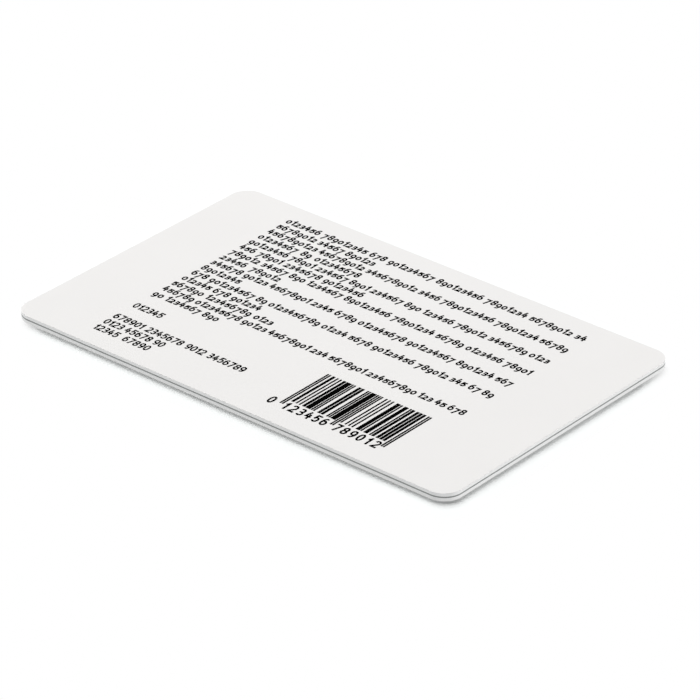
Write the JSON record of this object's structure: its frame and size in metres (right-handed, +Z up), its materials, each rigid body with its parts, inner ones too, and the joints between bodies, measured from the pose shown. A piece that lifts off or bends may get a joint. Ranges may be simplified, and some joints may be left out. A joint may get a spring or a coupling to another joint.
{
  "type": "rfid blocking card",
  "caption": "Flat white plastic card in the bank card format that shields contactless cards beside it: laminated sheets round a film inlay with an antenna coil and a chip.",
  "frame": {"origin": "centre of the card's underside, which lies on the surface", "axes": "+X along the long side, towards the right of the printed back face; +Y along the short side, towards the top of that face; +Z up, out of the printed back face"},
  "size_m": [0.0856, 0.054, 0.0013],
  "materials": {
    "white_pvc": "satin",
    "overlay_film": "satin",
    "adhesive_film": "satin",
    "inlay_film": "gloss",
    "antenna_foil": "satin",
    "lead_frame": "polished",
    "bond_gold": "polished",
    "silicon": "polished",
    "mould_resin": "matte",
    "print_ink": "satin"
  },
  "bodies": {
    "root": {"front_overlay_film": "overlay_film", "front_print_sheet": "white_pvc", "front_core_sheet": "white_pvc", "front_adhesive_film": "adhesive_film", "inlay_film": "inlay_film", "back_adhesive_film": "adhesive_film", "back_core_sheet": "white_pvc", "back_print_sheet": "white_pvc", "back_overlay_film": "overlay_film", "antenna_coil": "antenna_foil", "link_pad": "antenna_foil", "antenna_bridge": "antenna_foil", "outer_contact": "antenna_foil", "inner_contact": "antenna_foil", "lead_frame_die_half": "lead_frame", "lead_frame_wire_half": "lead_frame", "chip_die": "silicon", "short_bond_wire": "bond_gold", "long_bond_wire": "bond_gold", "chip_mould_cap": "mould_resin"}
  },
  "joints": []
}
